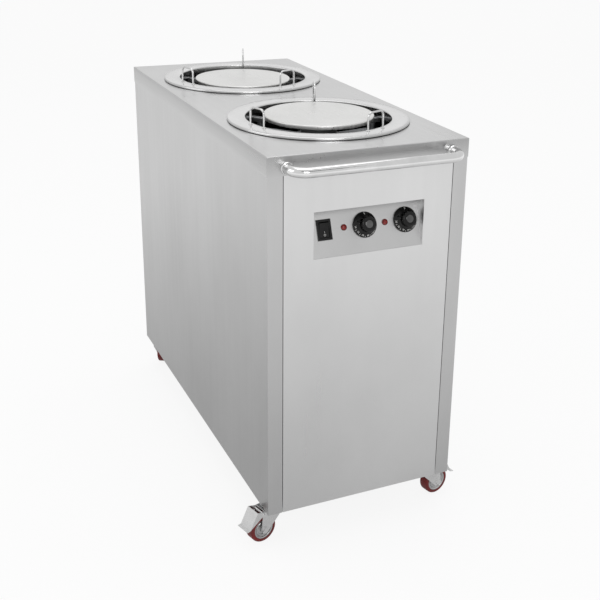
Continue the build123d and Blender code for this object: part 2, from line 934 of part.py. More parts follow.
def all_nodes():
    nodes = {
        "top_panel": top_panel(),
        "left_side_panel": side_panel(-1),
        "right_side_panel": side_panel(1),
        "front_panel": front_panel(),
        "rear_panel": rear_panel(),
        "base_pan": base_pan(),
        "corner_posts": corner_posts(),
        "well_rails": well_rails(),
        "heater_clips": heater_clips(),
        "sensor_bulbs": sensor_bulbs(),
        "control_fascia": control_fascia(),
        "switch_housing": switch_housing(),
        "switch_rocker": rocker(),
        "indicator_lamps": indicator_lamps(),
        "lamp_bodies": lamp_bodies(),
        "left_knob": knob(knob_places[0]),
        "right_knob": knob(knob_places[1]),
        "thermostats": thermostats(),
        "push_handle": push_handle(),
        "handle_collars": handle_collars(),
        "power_inlet": power_inlet(),
        "inlet_pins": inlet_pins(),
        "terminal_block": terminal_block(),
        "wiring_loom": wiring_loom(),
        "panel_screws": panel_screws(),
        "caster_plates": caster_plates(),
    }
    for name, y in well_ys.items():
        nodes[name + "_well_tube"] = well_tube(y)
        nodes[name + "_ring"] = ring(y)
        nodes[name + "_springs"] = springs(y)
        nodes[name + "_platform"] = platform(y, rises[name])
        nodes[name + "_carrier"] = carrier(y, rises[name])
    nodes["well_floors"] = in_both_wells(well_floor)
    nodes["heater_elements"] = in_both_wells(heater)
    nodes["guide_rods"] = in_both_wells(guide_rods)
    nodes["rod_clips"] = in_both_wells(rod_clips)
    nodes["guide_wires"] = in_both_wells(guide_wires)
    nodes["guide_eyelets"] = in_both_wells(guide_eyelets)
    for corner in casters:
        nodes[corner + "_fork"] = placed(corner, fork())
        nodes[corner + "_hub"] = placed(corner, wheel_hub())
        nodes[corner + "_tread"] = placed(corner, wheel_tread())
        nodes[corner + "_axle"] = [placed(corner, axle())]
    for corner in ("front_left", "front_right"):
        nodes[corner + "_axle"].append(placed(corner, brake_pin()))
        nodes[corner + "_brake"] = placed(corner, brake_pedal())
    return nodes


for name, shape in all_nodes().items():
    pieces = shape if isinstance(shape, list) else [shape]
    solids = [solid for piece in pieces for solid in piece.solids()]
    node = Compound(label=name, children=solids) if len(solids) > 1 else solids[0]
    node.label = name
    export_step(node, f"parts/{name}.step")
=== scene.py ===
import bpy
from math import atan2, cos, pi, radians, sin
from mathutils import Matrix, Vector


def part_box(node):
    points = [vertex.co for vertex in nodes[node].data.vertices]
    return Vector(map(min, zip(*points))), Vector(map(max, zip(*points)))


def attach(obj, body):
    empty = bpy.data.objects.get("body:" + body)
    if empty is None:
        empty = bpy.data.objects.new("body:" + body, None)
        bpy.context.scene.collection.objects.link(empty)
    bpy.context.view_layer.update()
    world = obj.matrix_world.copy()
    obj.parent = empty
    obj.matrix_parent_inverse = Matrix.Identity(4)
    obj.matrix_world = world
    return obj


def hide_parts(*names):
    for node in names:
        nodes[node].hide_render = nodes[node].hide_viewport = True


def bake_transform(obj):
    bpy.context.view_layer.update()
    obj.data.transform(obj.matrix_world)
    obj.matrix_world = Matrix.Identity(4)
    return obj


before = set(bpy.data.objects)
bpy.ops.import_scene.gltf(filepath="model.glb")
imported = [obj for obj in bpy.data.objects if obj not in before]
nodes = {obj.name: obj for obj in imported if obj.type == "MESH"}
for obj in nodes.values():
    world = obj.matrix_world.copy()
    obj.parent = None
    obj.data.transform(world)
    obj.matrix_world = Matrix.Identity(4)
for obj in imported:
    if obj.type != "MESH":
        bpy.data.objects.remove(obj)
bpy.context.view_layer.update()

# Heated plate dispenser: brushed cabinet, two ringed wells, controls in a sloping recess, casters.
# Metres. X right seen from the control end, Y towards the rear, Z up from the floor.

mm = 0.001

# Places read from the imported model
top_low, top_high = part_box("top_panel")
top_z = top_high[2]
front_y = top_low[1]
wells = {}
for side in ("front", "rear"):
    low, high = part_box(side + "_platform")
    wells[side] = {"y": (low[1] + high[1]) / 2, "platform_top": high[2]}

# Rings and platforms
sheet = 1.2 * mm
ring_inner = 161 * mm
ring_outer = 201 * mm
ring_foot = 1.5 * mm
ring_height = 6.4 * mm
ring_lip = 14 * mm
ring_edge = 2.6 * mm
ring_crown = 1.0 * mm
ring_crown_half = 9 * mm
ring_flank_share = 0.8
platform_radius = 122 * mm
platform_rim = 9 * mm
platform_edge = 2.5 * mm
platform_hem = 0.3 * mm
platform_border = 9 * mm
platform_band = 40 * mm
platform_middle = 20 * mm
round_steps = 144

# Wire guides
guide_angles = (70.0, 197.5, 290.0)
guide_swings = (-90.0, 0.0, 0.0)
guide_radius = 171 * mm
guide_width = 45 * mm
guide_height = 40 * mm
guide_wire = 2.2 * mm
guide_bend = 11 * mm
guide_tail = 5 * mm
bend_steps = 10

# Push handle
handle_radius = 10.5 * mm
handle_half_span = 185 * mm
handle_reach = 48 * mm
handle_drop = 24 * mm
handle_bend = 30 * mm

# Fascia and controls
fascia_tilt = atan2(38 * mm, 100 * mm)
fascia_depth = 22.77 * mm
fascia_drop = 169.2 * mm
fascia_point = Vector((0, front_y + fascia_depth, top_z - fascia_drop))
lamp_places = (-49 * mm, 45 * mm)

# Knobs and their scale
knob_places = {"left": -2 * mm, "right": 92 * mm}
knob_lift = 0.6 * mm
knob_steps = 72
skirt_radius = 27 * mm
skirt_print_height = 3.05 * mm
skirt_slope = 2 / 3
flute_every = 3
flute_low = 11 * mm
flute_high = 22 * mm
flute_inset = 0.25 * mm
flute_depth = 0.7 * mm
print_thickness = 0.16 * mm
scale_start = 186
scale_step = 30
scale_numbers = ("30", "50", "70", "90", "110")
number_size = 5.2 * mm
number_radius = 23.3 * mm
line_size = (3.4 * mm, 0.7 * mm, print_thickness)
line_radius = 24.6 * mm
pointer_size = (5.4 * mm, 1.1 * mm, print_thickness)
pointer_radius = 23.4 * mm
pointer_angle = 90

# Rocker switch
switch_place = -93 * mm
rocker_width = 21.2 * mm
rocker_half = 15.3 * mm
rocker_front = 3.6 * mm
rocker_back = -8 * mm
rocker_swing = radians(8)
rocker_pivot = 3 * mm
rocker_round = 0.7 * mm
sign_lift = 1.46 * mm
sign_size = 6.2 * mm
sign_thickness = 0.12 * mm
sign_places = {"rocker_on": ("I", -5 * mm), "rocker_off": ("O", -11 * mm)}

# Casters
caster_headings = {"front_left": 195.0, "front_right": 12.0, "rear_left": 60.0, "rear_right": 40.0}
wheel_radius = 32.5 * mm
tread_half = 12.5 * mm
tread_bore = 24.6 * mm
tread_shoulder = 4 * mm
seam_half = 0.7 * mm
seam_floor_half = 0.4 * mm
seam_depth = 0.35 * mm

# Springs
spring_angles = (10, 130, 250)
spring_circle = 146 * mm
spring_radius = 6.5 * mm
spring_wire = 1.25 * mm
spring_end = 1.1 * spring_wire
spring_turns = 28
spring_sides = 8
spring_steps = 18

# Screws of the rear panel
screw_radius = 4.2 * mm

# Camera, found from the straight edges and rings of the cabinet
camera_place = (-0.905, -2.270, 1.402)
camera_azimuth = -26.16
camera_elevation = 20.0
camera_roll = 1.56
focal_pixels = 1030.0
image_size = 600.0
middle_x = 354.0
middle_y = 246.0


# Making shapes

def fresh():
    """Leaves edit mode and deselects everything."""
    if bpy.context.mode != "OBJECT":
        bpy.ops.object.mode_set(mode="OBJECT")
    bpy.ops.object.select_all(action="DESELECT")


def finish_piece(name, place=None, smooth=35.0):
    """Names the active object, applies its place and shades it smooth below an angle."""
    fresh()
    piece = bpy.context.view_layer.objects.active
    piece.name = name
    piece.data.name = name
    piece.select_set(True)
    if place is not None:
        piece.matrix_world = place
    bpy.ops.object.transform_apply(location=True, rotation=True, scale=True)
    bpy.ops.object.shade_smooth_by_angle(angle=radians(smooth))
    piece.select_set(False)
    return piece


def mend_mesh(distance=1e-6):
    """In edit mode: merges doubles and turns all faces outwards."""
    bpy.ops.mesh.select_all(action="SELECT")
    bpy.ops.mesh.remove_doubles(threshold=distance)
    bpy.ops.mesh.normals_make_consistent(inside=False)


def outline(points):
    """An outline of (radius, height), written in millimetres."""
    return [(radius * mm, height * mm) for radius, height in points]


def rounded_corner(centre_r, centre_z, radius, first, last, steps=5):
    """Points of an outline round a corner, between two angles in degrees."""
    points = []
    for i in range(steps + 1):
        a = radians(first + (last - first) * i / steps)
        points.append((centre_r + radius * cos(a), centre_z + radius * sin(a)))
    return points


def turned(name, profile, steps=round_steps, close=False, smooth=35.0):
    """A turned shape: a circle is extruded and resized through its profile of (radius, height).
    A closed profile ends where it began, and an open one has a flat face at each end."""
    fresh()
    radius, height = profile[0]
    bpy.ops.mesh.primitive_circle_add(
        vertices=steps,
        radius=radius,
        fill_type="NOTHING" if close else "NGON",
        location=(0, 0, height),
    )
    bpy.ops.object.transform_apply(location=True)
    bpy.ops.object.mode_set(mode="EDIT")
    bpy.ops.mesh.select_mode(type="EDGE")
    bpy.ops.mesh.select_all(action="SELECT")
    for next_radius, next_height in profile[1:]:
        bpy.ops.mesh.extrude_edges_move(
            TRANSFORM_OT_translate={"value": (0, 0, next_height - height)}
        )
        scale = next_radius / radius
        bpy.ops.transform.resize(value=(scale, scale, 1), center_override=(0, 0, next_height))
        radius, height = next_radius, next_height
    if not close:
        bpy.ops.mesh.edge_face_add()
    mend_mesh()
    return finish_piece(name, smooth=smooth)


def bent_bar(name, radius, start, direction, moves, steps):
    """A round bar: a disc is extruded straight and spun a quarter turn round each bend."""
    fresh()
    aim = Vector(direction).to_track_quat("Z", "Y").to_matrix().to_4x4()
    bpy.ops.mesh.primitive_circle_add(vertices=steps, radius=radius, fill_type="NGON")
    piece = bpy.context.view_layer.objects.active
    piece.matrix_world = Matrix.Translation(Vector(start)) @ aim
    bpy.ops.object.transform_apply(location=True, rotation=True, scale=True)
    bpy.ops.object.mode_set(mode="EDIT")
    bpy.ops.mesh.select_all(action="SELECT")
    for move in moves:
        if move[0] == "go":
            bpy.ops.mesh.extrude_region_move(TRANSFORM_OT_translate={"value": move[1]})
        else:
            bpy.ops.mesh.spin(
                steps=bend_steps, angle=pi / 2, center=move[1], axis=move[2], dupli=False
            )
    mend_mesh()
    return finish_piece(name)


def block(name, size, place):
    """A small bar of print."""
    fresh()
    bpy.ops.mesh.primitive_cube_add(size=1)
    bpy.context.view_layer.objects.active.scale = size
    bpy.ops.object.transform_apply(scale=True)
    return finish_piece(name, place)


def lettering(name, text, size, thickness, place):
    """Raised print: text turned into a mesh."""
    fresh()
    bpy.ops.object.text_add()
    words = bpy.context.view_layer.objects.active
    words.data.body = text
    words.data.size = size
    words.data.extrude = thickness / 2
    words.data.align_x = "CENTER"
    words.data.align_y = "CENTER"
    words.data.resolution_u = 3
    bpy.ops.object.convert(target="MESH")
    bpy.ops.object.mode_set(mode="EDIT")
    mend_mesh()
    return finish_piece(name, place)


def joined(name, pieces):
    """Several pieces as one."""
    fresh()
    for piece in pieces:
        piece.select_set(True)
    bpy.context.view_layer.objects.active = pieces[0]
    bpy.ops.object.join()
    return finish_piece(name)


def soften(piece, width):
    """Rounds the sharp edges with a bevel that is applied."""
    fresh()
    bpy.context.view_layer.objects.active = piece
    piece.select_set(True)
    rounding = piece.modifiers.new("Rounding", "BEVEL")
    rounding.width = width
    rounding.segments = 3
    rounding.limit_method = "ANGLE"
    rounding.angle_limit = radians(30)
    bpy.ops.object.modifier_apply(modifier=rounding.name)
    piece.select_set(False)


def spread_out(model, name, places):
    """Copies a finished model, each copy with its own mesh, to its places."""
    copies = []
    for index, place in enumerate(places, start=1):
        fresh()
        piece = model.copy()
        piece.data = model.data.copy()
        bpy.context.scene.collection.objects.link(piece)
        piece.name = name + "_" + str(index)
        piece.data.name = piece.name
        piece.matrix_world = place
        piece.select_set(True)
        bpy.context.view_layer.objects.active = piece
        bpy.ops.object.transform_apply(location=True, rotation=True, scale=True)
        piece.select_set(False)
        copies.append(piece)
    bpy.data.objects.remove(model)
    return copies


def coat(piece, material):
    """Puts a finish on a piece or a CAD node."""
    piece.data.materials.clear()
    piece.data.materials.append(material)


def dress(piece, body, slot, material, *stands_for):
    """Puts a piece on its body, in its finish, in place of its CAD nodes."""
    coat(piece, material)
    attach(piece, body)
    if stands_for:
        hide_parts(*stands_for)


# Places

def turn_x(degrees):
    return Matrix.Rotation(radians(degrees), 4, "X")


def turn_z(degrees):
    return Matrix.Rotation(radians(degrees), 4, "Z")


def moved(x, y, z):
    return Matrix.Translation((x, y, z))


def on_fascia(x, lift=0.0):
    """A place on the sloping plate: X to the right, Y up the slope, Z out of it."""
    slope = Vector((0, sin(fascia_tilt), cos(fascia_tilt)))
    out = Vector((0, -cos(fascia_tilt), sin(fascia_tilt)))
    turn = Matrix((Vector((1, 0, 0)), slope, out)).transposed().to_4x4()
    return Matrix.Translation(fascia_point + Vector((x, 0, 0)) + out * lift) @ turn


# Finishes

noise_low = 0.3         # nearly all of a noise pattern lies between these two
noise_high = 0.7
grain_up = (1, 1, 0.03)
grain_along = (1, 0.03, 1)
grain_share = 0.65
cloud_share = 0.35
sheet_cloud = 3.5
disc_cloud = 5.0
disc_grain = 160.0
smudge_scale = 28.0
scratch_scale = 220.0
patch_scale = 40.0
facet_scale = 420.0
skirt_shade_depth = 40 * mm


def grey(level):
    return (level, level, level)


def shader(name, colour, roughness, metallic=0.0, shine=0.5):
    """A new material, its node tree and its shader node."""
    material = bpy.data.materials.new(name)
    material.use_nodes = True
    tree = material.node_tree
    principled = tree.nodes["Principled BSDF"]
    principled.inputs["Base Color"].default_value = (*colour, 1)
    principled.inputs["Metallic"].default_value = metallic
    principled.inputs["Roughness"].default_value = roughness
    principled.inputs["Specular IOR Level"].default_value = shine
    return material, tree, principled


def pattern(tree, scale, stretch=(1, 1, 1), detail=4.0, roughness=0.55):
    """Noise on the object's own coordinates, stretched along the grain."""
    place = tree.nodes.new("ShaderNodeTexCoord")
    mapping = tree.nodes.new("ShaderNodeMapping")
    mapping.inputs["Scale"].default_value = stretch
    noise = tree.nodes.new("ShaderNodeTexNoise")
    noise.inputs["Scale"].default_value = scale
    noise.inputs["Detail"].default_value = detail
    noise.inputs["Roughness"].default_value = roughness
    tree.links.new(place.outputs["Object"], mapping.inputs["Vector"])
    tree.links.new(mapping.outputs["Vector"], noise.inputs["Vector"])
    return noise.outputs["Fac"]


def spread(tree, source, low, high):
    """Maps a pattern on to a range of values."""
    ramp = tree.nodes.new("ShaderNodeMapRange")
    ramp.inputs["From Min"].default_value = noise_low
    ramp.inputs["From Max"].default_value = noise_high
    ramp.inputs["To Min"].default_value = low
    ramp.inputs["To Max"].default_value = high
    tree.links.new(source, ramp.inputs["Value"])
    return ramp.outputs["Result"]


def tint(tree, source, dark, light):
    """Maps a pattern on to the colours between two."""
    ramp = tree.nodes.new("ShaderNodeValToRGB")
    ramp.color_ramp.elements[0].position = noise_low
    ramp.color_ramp.elements[0].color = (*dark, 1)
    ramp.color_ramp.elements[1].position = noise_high
    ramp.color_ramp.elements[1].color = (*light, 1)
    tree.links.new(source, ramp.inputs["Fac"])
    return ramp.outputs["Color"]


def weighed(tree, source, share):
    """A share of a value."""
    weight = tree.nodes.new("ShaderNodeMath")
    weight.operation = "MULTIPLY"
    weight.inputs[1].default_value = share
    tree.links.new(source, weight.inputs[0])
    return weight.outputs["Value"]


def relief(tree, principled, source, strength, depth=0.1 * mm):
    """Shallow bumps that follow a pattern."""
    bump = tree.nodes.new("ShaderNodeBump")
    bump.inputs["Strength"].default_value = strength
    bump.inputs["Distance"].default_value = depth
    tree.links.new(source, bump.inputs["Height"])
    tree.links.new(bump.outputs["Normal"], principled.inputs["Normal"])


def brushed_steel(name, dark, light, rough, grain, scale=60.0, edge_shade_level=1.0):
    """Stainless sheet with a long fine grain and a cloudy polish.
    With a shade level below 1, a painted shade darkens it just under the cabinet's top edge."""
    material, tree, principled = shader(name, light, rough[1], metallic=1.0)
    fine = pattern(tree, scale, grain, roughness=0.7)
    cloud = pattern(tree, sheet_cloud, (1, 1, 0.6))
    colour = tint(tree, cloud, dark, light)
    # Painted shade under the top edge, multiplied into the steel's colour
    if edge_shade_level < 1:
        colour = painted_shade_under_edge(tree, colour, edge_shade_level)
    tree.links.new(colour, principled.inputs["Base Color"])
    mix = tree.nodes.new("ShaderNodeMath")
    mix.operation = "MULTIPLY_ADD"
    mix.inputs[1].default_value = grain_share
    tree.links.new(fine, mix.inputs[0])
    tree.links.new(weighed(tree, cloud, cloud_share), mix.inputs[2])
    tree.links.new(spread(tree, mix.outputs["Value"], *rough), principled.inputs["Roughness"])
    relief(tree, principled, fine, 0.12, 0.2 * mm)
    return material


def painted_shade_under_edge(tree, colour, share):
    """Painted shade: full on the flat top, darkest just under its edge and nearly full again at the
    skirt's hem.
    """
    place = tree.nodes.new("ShaderNodeTexCoord")
    split = tree.nodes.new("ShaderNodeSeparateXYZ")
    tree.links.new(place.outputs["Object"], split.inputs["Vector"])
    level = tree.nodes.new("ShaderNodeMapRange")
    level.inputs["From Min"].default_value = top_z - skirt_shade_depth
    level.inputs["From Max"].default_value = top_z
    tree.links.new(split.outputs["Z"], level.inputs["Value"])
    ramp = tree.nodes.new("ShaderNodeValToRGB")
    hem, below_edge = ramp.color_ramp.elements
    hem.position = 0.0
    hem.color = (*grey(0.95), 1)
    below_edge.position = 0.94
    below_edge.color = (*grey(share), 1)
    top = ramp.color_ramp.elements.new(0.975)
    top.color = (*grey(1), 1)
    tree.links.new(level.outputs["Result"], ramp.inputs["Fac"])
    mix = tree.nodes.new("ShaderNodeMix")
    mix.data_type = "RGBA"
    mix.blend_type = "MULTIPLY"
    mix.inputs["Factor"].default_value = 1.0
    tree.links.new(colour, mix.inputs[6])
    tree.links.new(ramp.outputs["Color"], mix.inputs[7])
    return mix.outputs[2]


def polished(name, dark, light, rough):
    """Bright metal with handling marks."""
    material, tree, principled = shader(name, light, rough[0], metallic=1.0)
    smudge = pattern(tree, smudge_scale, detail=5.0)
    tree.links.new(spread(tree, smudge, *rough), principled.inputs["Roughness"])
    tree.links.new(tint(tree, smudge, dark, light), principled.inputs["Base Color"])
    scratch = pattern(tree, scratch_scale, (1, 6, 6), detail=2.0)
    relief(tree, principled, scratch, 0.03)
    return material


def plastic(name, dark, light, rough, grain=900.0, strength=0.08, shine=0.5):
    """Moulded plastic with a fine skin and uneven gloss."""
    material, tree, principled = shader(name, light, rough[0], shine=shine)
    skin = pattern(tree, grain, detail=2.0)
    patch = pattern(tree, patch_scale)
    tree.links.new(tint(tree, patch, dark, light), principled.inputs["Base Color"])
    tree.links.new(spread(tree, patch, *rough), principled.inputs["Roughness"])
    relief(tree, principled, skin, strength)
    return material


def platform_steel():
    """Satin disc: fine streaks from front to rear and a cloudy polish."""
    material, tree, principled = shader("Turned platform steel", (0.74, 0.74, 0.73), 0.3, metallic=1.0)
    fine = pattern(tree, disc_grain, (1, 0.12, 1), roughness=0.7)
    cloud = pattern(tree, disc_cloud)
    colour = tint(tree, cloud, (0.66, 0.66, 0.65), (0.76, 0.76, 0.75))
    tree.links.new(colour, principled.inputs["Base Color"])
    tree.links.new(spread(tree, fine, 0.24, 0.4), principled.inputs["Roughness"])
    relief(tree, principled, fine, 0.1)
    return material


def lamp_lens():
    """Red lens with a cut pattern, the light and shade of its cuts painted into its colour."""
    material, tree, principled = shader("Red lamp lens", (0.5, 0.02, 0.02), 0.18)
    facet = tree.nodes.new("ShaderNodeTexVoronoi")
    facet.inputs["Scale"].default_value = facet_scale
    place = tree.nodes.new("ShaderNodeTexCoord")
    tree.links.new(place.outputs["Object"], facet.inputs["Vector"])
    # Painted light and shade of the cuts: dark red spots in lighter red
    colour = tint(tree, facet.outputs["Distance"], (0.10, 0.004, 0.004), (0.36, 0.03, 0.025))
    tree.links.new(colour, principled.inputs["Base Color"])
    relief(tree, principled, facet.outputs["Distance"], 0.4, 0.4 * mm)
    return material


finishes = {
    # Painted light: the front and rear panels take a lighter copy of the same cabinet steel as the
    # sides
    "side": brushed_steel("Cabinet steel side", grey(0.55), grey(0.62), (0.3, 0.42), grain_up),
    "front": brushed_steel("Cabinet steel front painted lighter", grey(0.68), grey(0.75), (0.26, 0.38), grain_up),
    # The top panel's skirt gets painted shade just under its edge
    "top": brushed_steel(
        "Cabinet steel top", grey(0.56), grey(0.62), (0.24, 0.36), grain_along, edge_shade_level=0.72
    ),
    "ring": brushed_steel(
        "Pressed ring steel", grey(0.62), grey(0.7), (0.16, 0.28), (1, 0.3, 1), scale=90.0
    ),
    "well": brushed_steel(
        "Well steel", grey(0.012), (0.035, 0.035, 0.036), (0.4, 0.55), (1, 1, 0.05)
    ),
    "frame": brushed_steel(
        "Galvanised steel", (0.30, 0.31, 0.32), (0.48, 0.49, 0.5), (0.4, 0.6), (1, 1, 1), scale=30.0
    ),
    "disc": platform_steel(),
    "chrome": polished("Polished tube", grey(0.74), grey(0.84), (0.06, 0.16)),
    "wire": polished("Bright wire", grey(0.66), grey(0.78), (0.12, 0.24)),
    "zinc": polished("Zinc plate", grey(0.70), grey(0.82), (0.2, 0.34)),
    "dark": polished("Oiled spring steel", (0.10, 0.10, 0.11), (0.2, 0.2, 0.21), (0.3, 0.5)),
    "element": plastic("Element sheath", grey(0.04), (0.09, 0.08, 0.08), (0.5, 0.7)),
    "black": plastic(
        "Black plastic", grey(0.003), grey(0.008), (0.25, 0.45), strength=0.12, shine=0.3
    ),
    "knob": plastic(
        "Gloss knob black", grey(0.003), grey(0.006), (0.08, 0.2),
        grain=500.0, strength=0.03, shine=0.32,
    ),
    "mark": plastic("White print", (0.62, 0.62, 0.6), (0.8, 0.8, 0.78), (0.4, 0.6)),
    "white": plastic("White plastic", (0.7, 0.69, 0.66), (0.82, 0.81, 0.78), (0.35, 0.5)),
    "brass": polished("Brass", (0.5, 0.38, 0.16), (0.7, 0.55, 0.26), (0.2, 0.4)),
    "cable": plastic(
        "Cable sleeve", grey(0.02), grey(0.05), (0.5, 0.7), grain=300.0, strength=0.3
    ),
    "tread": plastic(
        "Red tread", (0.11, 0.003, 0.003), (0.19, 0.008, 0.007), (0.34, 0.55),
        grain=260.0, strength=0.3,
    ),
    "hub": polished("Wheel centre", grey(0.44), grey(0.6), (0.2, 0.36)),
    "lens": lamp_lens(),
    "lamp rim": plastic(
        "Red lamp rim", (0.10, 0.008, 0.006), (0.17, 0.014, 0.012), (0.2, 0.35),
        grain=300.0, strength=0.05,
    ),
    "cap": polished("Knob cap", grey(0.09), grey(0.16), (0.1, 0.2)),
}

cad_finishes = {
    "side": ("left_side_panel", "right_side_panel", "control_fascia"),
    "front": ("front_panel", "rear_panel"),
    "top": ("top_panel",),
    "ring": ("front_ring", "rear_ring"),
    "well": ("front_well_tube", "rear_well_tube", "well_floors"),
    "frame": (
        "base_pan", "corner_posts", "well_rails", "heater_clips", "rod_clips",
        "front_carrier", "rear_carrier",
    ),
    "disc": ("front_platform", "rear_platform"),
    "chrome": ("push_handle", "handle_collars"),
    "wire": ("guide_wires", "guide_eyelets", "panel_screws"),
    "dark": ("guide_rods", "front_springs", "rear_springs"),
    "element": ("heater_elements",),
    "black": ("switch_housing", "switch_rocker", "power_inlet"),
    "knob": ("left_knob", "right_knob"),
    "white": ("lamp_bodies", "thermostats", "terminal_block"),
    "brass": ("sensor_bulbs", "inlet_pins"),
    "cable": ("wiring_loom",),
    "lens": ("indicator_lamps",),
    "zinc": ("caster_plates",),
}
caster_finishes = {"fork": "zinc", "axle": "zinc", "hub": "hub", "tread": "tread", "brake": "zinc"}

for finish, names in cad_finishes.items():
    for name in names:
        coat(nodes[name], finishes[finish])
for corner in caster_headings:
    for part, finish in caster_finishes.items():
        name = corner + "_" + part
        if name in nodes:                # the rear casters have no brake
            coat(nodes[name], finishes[finish])


# Pieces

def make_rings():
    """A pressed ring with a low crown and a lip that goes down into the well's hole."""
    edge = ring_edge
    middle = (ring_inner + ring_outer) / 2
    flank = ring_height + ring_flank_share * ring_crown
    profile = [(ring_outer - sheet, ring_foot), (ring_outer, ring_foot)]
    profile += rounded_corner(ring_outer - edge, ring_height - edge, edge, 0, 78)
    profile += [(middle + ring_crown_half, flank), (middle, ring_height + ring_crown)]
    profile += [(middle - ring_crown_half, flank)]
    profile += rounded_corner(ring_inner + edge, ring_height - edge, edge, 102, 180)
    profile += [(ring_inner, -ring_lip), (ring_inner + sheet, -ring_lip)]
    profile += [(ring_inner + sheet, ring_height - edge), (ring_inner + edge, ring_height - sheet)]
    profile += [(ring_outer - edge, ring_height - sheet), (ring_outer - sheet, ring_height - edge)]
    profile += [profile[0]]
    model = turned("ring", profile, close=True)
    places = [moved(0, well["y"], top_z) for well in wells.values()]
    for side, piece in zip(wells, spread_out(model, "cover_ring", places)):
        dress(piece, "cabinet", "ring_steel", finishes["ring"], side + "_ring")


def make_platforms():
    """A flat disc with a rounded edge and a rim turned down."""
    edge = platform_edge
    profile = [(platform_radius - sheet, -sheet), (platform_radius - sheet, -platform_rim)]
    profile += [(platform_radius - platform_hem, -platform_rim)]
    profile += [(platform_radius, -platform_rim + platform_hem)]
    profile += rounded_corner(platform_radius - edge, -edge, edge, 0, 90, 6)
    profile += [(platform_radius - platform_border, 0), (platform_radius - platform_band, 0)]
    profile += [(platform_middle, 0)]
    model = turned("platform", profile)
    places = [moved(0, well["y"], well["platform_top"]) for well in wells.values()]
    for side, piece in zip(wells, spread_out(model, "plate_platform", places)):
        dress(piece, side + "_lift", "platform_steel", finishes["disc"], side + "_platform")


def guide_places(lift):
    """The guide at the back is swung across the gap, as the photograph shows it."""
    places = []
    for well in wells.values():
        for angle, swing in zip(guide_angles, guide_swings):
            middle = moved(0, well["y"], top_z + lift)
            places.append(middle @ turn_z(angle) @ moved(guide_radius, 0, 0) @ turn_z(swing))
    return places


def make_guides():
    """Bent wires, with a foot round each leg that stands on the ring."""
    half = guide_width / 2
    shoulder = ring_height + ring_crown + guide_height - guide_wire - guide_bend
    leg = guide_tail + shoulder
    bar = [
        ("go", (0, 0, leg)),
        ("bend", (0, guide_bend - half, shoulder), (1, 0, 0)),
        ("go", (0, 2 * (half - guide_bend), 0)),
        ("bend", (0, half - guide_bend, shoulder), (1, 0, 0)),
        ("go", (0, 0, -leg)),
    ]
    model = bent_bar("wire_guide", guide_wire, (0, -half, -guide_tail), (0, 0, 1), bar, steps=14)
    for piece in spread_out(model, "wire_guide", guide_places(0)):
        dress(piece, "cabinet", "wire_chrome", finishes["wire"], "guide_wires")
    foot = outline(
        [(2.3, 0), (4.4, 0), (4.4, 0.7), (3.9, 1.3), (3.0, 1.4), (2.3, 1.1), (2.3, 0)]
    )
    model = turned("guide_foot", foot, steps=28, close=True)
    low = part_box("guide_eyelets")[0][2] - top_z
    places = []
    for index, place in enumerate(guide_places(low)):
        swung = guide_swings[index % len(guide_swings)] != 0
        legs = (half,) if swung else (-half, half)       # a swung guide has one leg on the ring
        places += [place @ moved(0, leg, 0) for leg in legs]
    for piece in spread_out(model, "guide_foot", places):
        dress(piece, "cabinet", "wire_chrome", finishes["wire"], "guide_eyelets")


def make_handle():
    """The push tube, bent at both ends, and a collar where each end meets the cabinet."""
    span = handle_half_span
    level = top_z - handle_drop
    out = handle_reach - handle_bend
    turn_y = front_y - out
    bar = [
        ("go", (0, -out, 0)),
        ("bend", (handle_bend - span, turn_y, level), (0, 0, -1)),
        ("go", (2 * (span - handle_bend), 0, 0)),
        ("bend", (span - handle_bend, turn_y, level), (0, 0, -1)),
        ("go", (0, out, 0)),
    ]
    piece = bent_bar(
        "push_tube", handle_radius, (-span, front_y, level), (0, -1, 0), bar, steps=40
    )
    dress(piece, "cabinet", "handle_chrome", finishes["chrome"], "push_handle")
    collar = outline([
        (10.7, 0), (13.2, 0), (13.2, 5.6), (12.6, 6.6), (12.0, 6.8),
        (11.6, 7.7), (10.9, 8), (10.7, 7.6), (10.7, 0),
    ])
    model = turned("tube_collar", collar, steps=56, close=True)
    places = [moved(side, front_y, level) @ turn_x(90) for side in (-span, span)]
    for piece in spread_out(model, "tube_collar", places):
        dress(piece, "cabinet", "handle_chrome", finishes["chrome"], "handle_collars")


def knob_shape():
    """A conical skirt, a fluted grip and a dished cap."""
    profile = outline([
        (26.2, 0), (27, 0.5), (27, 2.3), (26.4, 3.1), (22.5, 6.0),
        (18.6, 8.6), (17.0, 9.3), (16.0, 10.4), (15.8, 22.8),
    ])
    profile += rounded_corner(13.9 * mm, 23.1 * mm, 1.9 * mm, 0, 90)
    profile += outline([(9.4, 25), (8.8, 24.1), (4.5, 23.9)])
    piece = turned("knob", profile, steps=knob_steps)
    fresh()
    bpy.context.view_layer.objects.active = piece
    bpy.ops.object.mode_set(mode="EDIT")
    bpy.ops.mesh.select_all(action="DESELECT")
    bpy.ops.object.mode_set(mode="OBJECT")
    for face in piece.data.polygons:
        x, y, z = face.center
        column = int((atan2(y, x) % (2 * pi)) / (2 * pi) * knob_steps)
        face.select = flute_low < z < flute_high and column % flute_every == 0
    bpy.ops.object.mode_set(mode="EDIT")
    bpy.ops.mesh.select_mode(type="FACE")
    bpy.ops.mesh.inset(thickness=flute_inset, depth=-flute_depth, use_individual=True)
    return finish_piece("knob")


def scale_marks():
    """Lines round the skirt with plain numbers between them, and one line at the top."""
    marks = []

    def on_skirt(angle, radius):
        lift = skirt_print_height + (skirt_radius - radius) * skirt_slope
        tilt = Matrix.Rotation(atan2(skirt_slope, 1), 4, "Y")
        return turn_z(angle) @ moved(radius, 0, lift) @ tilt

    for index, number in enumerate(scale_numbers):
        angle = scale_start + scale_step * index
        place = on_skirt(angle, number_radius) @ turn_z(90)
        marks.append(lettering("number", number, number_size, print_thickness, place))
        marks.append(block("line", line_size, on_skirt(angle + scale_step / 2, line_radius)))
    marks.append(block("line", pointer_size, on_skirt(pointer_angle, pointer_radius)))
    return joined("scale", marks)


